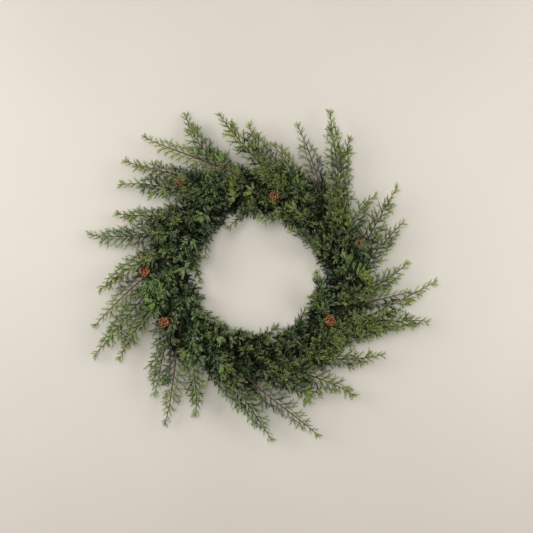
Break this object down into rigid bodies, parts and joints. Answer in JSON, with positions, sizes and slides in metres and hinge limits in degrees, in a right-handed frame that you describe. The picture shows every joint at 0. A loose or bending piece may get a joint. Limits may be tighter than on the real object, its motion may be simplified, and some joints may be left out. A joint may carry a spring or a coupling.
{
  "type": "evergreen wreath",
  "caption": "Round wreath of feathery evergreen sprigs and small cones bound anticlockwise onto a wire ring, open in the middle, lying on its flat back.",
  "frame": {"origin": "on the surface that the back rests on, below the middle of the wreath's overall box", "axes": "+Z out of the wreath's front, +Y towards the top of the wreath as it is looked at, +X to the right; the back of the wire ring rests on Z = 0"},
  "size_m": [0.6142, 0.5808, 0.0587],
  "materials": {
    "evergreen_sprig": "matt needled foliage on reddish-brown woody stems",
    "cone_scales": "dry woody scales",
    "ring_wire": "dark green enamel",
    "binding_wire": "dark green enamel"
  },
  "bodies": {
    "root": {"binding_wire": "binding_wire", "cone_01": "cone_scales", "cone_02": "cone_scales", "cone_03": "cone_scales", "cone_04": "cone_scales", "cone_05": "cone_scales", "cone_06": "cone_scales", "cross_tie_1": "ring_wire", "cross_tie_2": "ring_wire", "cross_tie_3": "ring_wire", "cross_tie_4": "ring_wire", "cross_tie_5": "ring_wire", "cross_tie_6": "ring_wire", "face_sprig_01": "evergreen_sprig", "face_sprig_02": "evergreen_sprig", "face_sprig_03": "evergreen_sprig", "face_sprig_04": "evergreen_sprig", "inner_rail": "ring_wire", "inner_sprig_01": "evergreen_sprig", "inner_sprig_02": "evergreen_sprig", "inner_sprig_03": "evergreen_sprig", "inner_sprig_04": "evergreen_sprig", "inner_sprig_05": "evergreen_sprig", "inner_sprig_06": "evergreen_sprig", "inner_sprig_07": "evergreen_sprig", "inner_sprig_08": "evergreen_sprig", "inner_sprig_09": "evergreen_sprig", "inner_sprig_10": "evergreen_sprig", "middle_rail": "ring_wire", "outer_rail": "ring_wire", "outer_sprig_01": "evergreen_sprig", "outer_sprig_02": "evergreen_sprig", "outer_sprig_03": "evergreen_sprig", "outer_sprig_04": "evergreen_sprig", "outer_sprig_05": "evergreen_sprig", "outer_sprig_06": "evergreen_sprig", "outer_sprig_07": "evergreen_sprig", "outer_sprig_08": "evergreen_sprig", "outer_sprig_09": "evergreen_sprig", "outer_sprig_10": "evergreen_sprig", "outer_sprig_11": "evergreen_sprig", "outer_sprig_12": "evergreen_sprig", "outer_sprig_13": "evergreen_sprig", "outer_sprig_14": "evergreen_sprig", "outer_sprig_15": "evergreen_sprig", "outer_sprig_16": "evergreen_sprig", "outer_sprig_17": "evergreen_sprig", "outer_sprig_18": "evergreen_sprig", "outer_sprig_19": "evergreen_sprig", "outer_sprig_20": "evergreen_sprig", "outer_sprig_21": "evergreen_sprig", "outer_sprig_22": "evergreen_sprig", "outer_sprig_23": "evergreen_sprig", "outer_sprig_24": "evergreen_sprig", "outer_sprig_25": "evergreen_sprig", "outer_sprig_26": "evergreen_sprig", "outer_sprig_27": "evergreen_sprig", "outer_sprig_28": "evergreen_sprig", "outer_sprig_29": "evergreen_sprig", "outer_sprig_30": "evergreen_sprig"}
  },
  "joints": []
}
